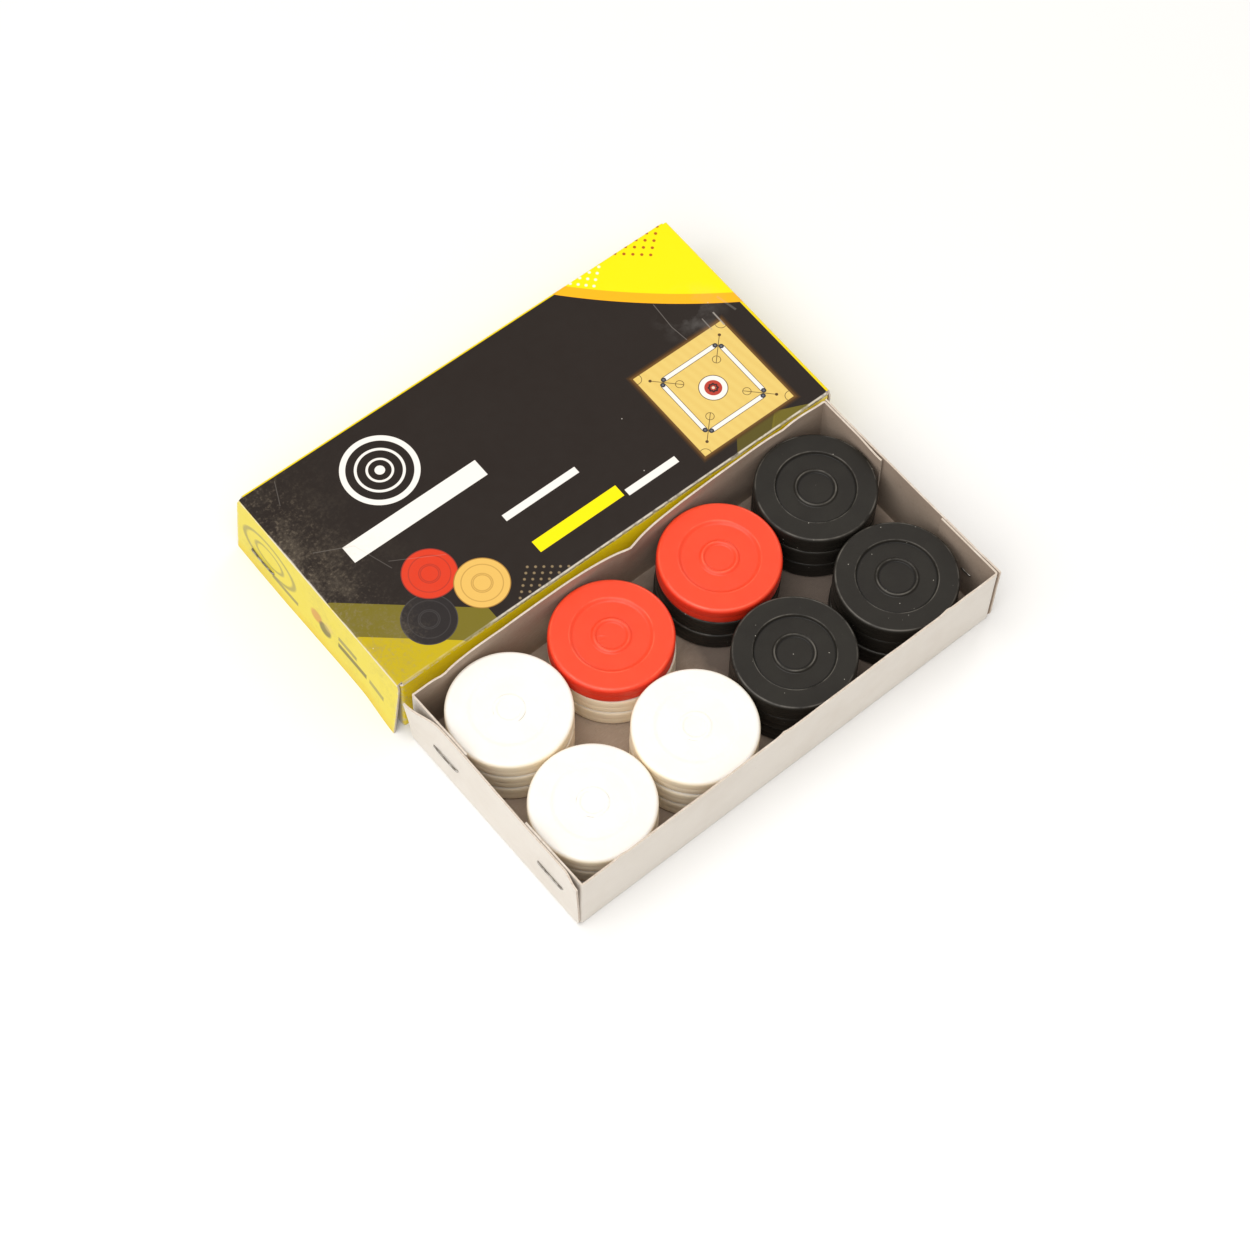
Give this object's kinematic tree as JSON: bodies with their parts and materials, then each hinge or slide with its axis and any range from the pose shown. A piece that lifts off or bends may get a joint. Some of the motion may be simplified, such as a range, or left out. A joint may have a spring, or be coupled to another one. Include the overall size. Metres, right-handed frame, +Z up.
{
  "type": "boxed carrom coin set",
  "caption": "Flat round game coins stacked in two rows in an open folded card tray, with the stapled card lid lying beside it, open side down.",
  "frame": {"origin": "centre of the tray's underside, on the surface that the tray stands on", "axes": "+X along the tray's long side, +Y from the tray towards its lid, +Z up"},
  "size_m": [0.1357, 0.1327, 0.0222],
  "materials": {
    "tray_card": "plain uncoated card, creased along its folds",
    "lid_card": "printed card, worn along its folds",
    "staple_steel": "flat wire",
    "coin_white": "moulded, slightly dusty",
    "coin_black": "moulded, slightly dusty",
    "coin_red": "moulded, slightly dusty"
  },
  "bodies": {
    "tray": {"tray": "tray_card", "tray_staple_left_near": "staple_steel", "tray_staple_left_far": "staple_steel", "tray_staple_right_near": "staple_steel", "tray_staple_right_far": "staple_steel"},
    "lid": {"lid": "lid_card", "lid_staple_left_far": "staple_steel", "lid_staple_right_far": "staple_steel", "lid_staple_right_near": "staple_steel"},
    "white_coin_far_1_bottom": {"white_coin_far_1_bottom": "coin_white"},
    "white_coin_far_1_middle": {"white_coin_far_1_middle": "coin_white"},
    "white_coin_far_1_top": {"white_coin_far_1_top": "coin_white"},
    "white_coin_far_2_bottom": {"white_coin_far_2_bottom": "coin_white"},
    "white_coin_far_2_middle": {"white_coin_far_2_middle": "coin_white"},
    "red_coin_far_2_top": {"red_coin_far_2_top": "coin_red"},
    "black_coin_far_3_bottom": {"black_coin_far_3_bottom": "coin_black"},
    "black_coin_far_3_middle": {"black_coin_far_3_middle": "coin_black"},
    "red_coin_far_3_top": {"red_coin_far_3_top": "coin_red"},
    "black_coin_far_4_bottom": {"black_coin_far_4_bottom": "coin_black"},
    "black_coin_far_4_middle": {"black_coin_far_4_middle": "coin_black"},
    "black_coin_far_4_top": {"black_coin_far_4_top": "coin_black"},
    "white_coin_near_1_bottom": {"white_coin_near_1_bottom": "coin_white"},
    "white_coin_near_1_middle": {"white_coin_near_1_middle": "coin_white"},
    "white_coin_near_1_top": {"white_coin_near_1_top": "coin_white"},
    "white_coin_near_2_bottom": {"white_coin_near_2_bottom": "coin_white"},
    "white_coin_near_2_middle": {"white_coin_near_2_middle": "coin_white"},
    "white_coin_near_2_top": {"white_coin_near_2_top": "coin_white"},
    "black_coin_near_3_bottom": {"black_coin_near_3_bottom": "coin_black"},
    "black_coin_near_3_middle": {"black_coin_near_3_middle": "coin_black"},
    "black_coin_near_3_top": {"black_coin_near_3_top": "coin_black"},
    "black_coin_near_4_bottom": {"black_coin_near_4_bottom": "coin_black"},
    "black_coin_near_4_middle": {"black_coin_near_4_middle": "coin_black"},
    "black_coin_near_4_top": {"black_coin_near_4_top": "coin_black"}
  },
  "joints": [
    {"name": "lift_far_1_bottom", "type": "slide", "parent": "tray", "child": "white_coin_far_1_bottom", "axis": [0, 0, 1], "range_m": [0, 0.03]},
    {"name": "lift_far_1_middle", "type": "slide", "parent": "white_coin_far_1_bottom", "child": "white_coin_far_1_middle", "axis": [0, 0, 1], "range_m": [0, 0.03]},
    {"name": "lift_far_1_top", "type": "slide", "parent": "white_coin_far_1_middle", "child": "white_coin_far_1_top", "axis": [0, 0, 1], "range_m": [0, 0.03]},
    {"name": "lift_far_2_bottom", "type": "slide", "parent": "tray", "child": "white_coin_far_2_bottom", "axis": [0, 0, 1], "range_m": [0, 0.03]},
    {"name": "lift_far_2_middle", "type": "slide", "parent": "white_coin_far_2_bottom", "child": "white_coin_far_2_middle", "axis": [0, 0, 1], "range_m": [0, 0.03]},
    {"name": "lift_far_2_top", "type": "slide", "parent": "white_coin_far_2_middle", "child": "red_coin_far_2_top", "axis": [0, 0, 1], "range_m": [0, 0.03]},
    {"name": "lift_far_3_bottom", "type": "slide", "parent": "tray", "child": "black_coin_far_3_bottom", "axis": [0, 0, 1], "range_m": [0, 0.03]},
    {"name": "lift_far_3_middle", "type": "slide", "parent": "black_coin_far_3_bottom", "child": "black_coin_far_3_middle", "axis": [0, 0, 1], "range_m": [0, 0.03]},
    {"name": "lift_far_3_top", "type": "slide", "parent": "black_coin_far_3_middle", "child": "red_coin_far_3_top", "axis": [0, 0, 1], "range_m": [0, 0.03]},
    {"name": "lift_far_4_bottom", "type": "slide", "parent": "tray", "child": "black_coin_far_4_bottom", "axis": [0, 0, 1], "range_m": [0, 0.03]},
    {"name": "lift_far_4_middle", "type": "slide", "parent": "black_coin_far_4_bottom", "child": "black_coin_far_4_middle", "axis": [0, 0, 1], "range_m": [0, 0.03]},
    {"name": "lift_far_4_top", "type": "slide", "parent": "black_coin_far_4_middle", "child": "black_coin_far_4_top", "axis": [0, 0, 1], "range_m": [0, 0.03]},
    {"name": "lift_near_1_bottom", "type": "slide", "parent": "tray", "child": "white_coin_near_1_bottom", "axis": [0, 0, 1], "range_m": [0, 0.03]},
    {"name": "lift_near_1_middle", "type": "slide", "parent": "white_coin_near_1_bottom", "child": "white_coin_near_1_middle", "axis": [0, 0, 1], "range_m": [0, 0.03]},
    {"name": "lift_near_1_top", "type": "slide", "parent": "white_coin_near_1_middle", "child": "white_coin_near_1_top", "axis": [0, 0, 1], "range_m": [0, 0.03]},
    {"name": "lift_near_2_bottom", "type": "slide", "parent": "tray", "child": "white_coin_near_2_bottom", "axis": [0, 0, 1], "range_m": [0, 0.03]},
    {"name": "lift_near_2_middle", "type": "slide", "parent": "white_coin_near_2_bottom", "child": "white_coin_near_2_middle", "axis": [0, 0, 1], "range_m": [0, 0.03]},
    {"name": "lift_near_2_top", "type": "slide", "parent": "white_coin_near_2_middle", "child": "white_coin_near_2_top", "axis": [0, 0, 1], "range_m": [0, 0.03]},
    {"name": "lift_near_3_bottom", "type": "slide", "parent": "tray", "child": "black_coin_near_3_bottom", "axis": [0, 0, 1], "range_m": [0, 0.03]},
    {"name": "lift_near_3_middle", "type": "slide", "parent": "black_coin_near_3_bottom", "child": "black_coin_near_3_middle", "axis": [0, 0, 1], "range_m": [0, 0.03]},
    {"name": "lift_near_3_top", "type": "slide", "parent": "black_coin_near_3_middle", "child": "black_coin_near_3_top", "axis": [0, 0, 1], "range_m": [0, 0.03]},
    {"name": "lift_near_4_bottom", "type": "slide", "parent": "tray", "child": "black_coin_near_4_bottom", "axis": [0, 0, 1], "range_m": [0, 0.03]},
    {"name": "lift_near_4_middle", "type": "slide", "parent": "black_coin_near_4_bottom", "child": "black_coin_near_4_middle", "axis": [0, 0, 1], "range_m": [0, 0.03]},
    {"name": "lift_near_4_top", "type": "slide", "parent": "black_coin_near_4_middle", "child": "black_coin_near_4_top", "axis": [0, 0, 1], "range_m": [0, 0.03]},
    {"name": "lift_lid", "type": "slide", "parent": "tray", "child": "lid", "axis": [0, 0, 1], "range_m": [0, 0.06]}
  ]
}
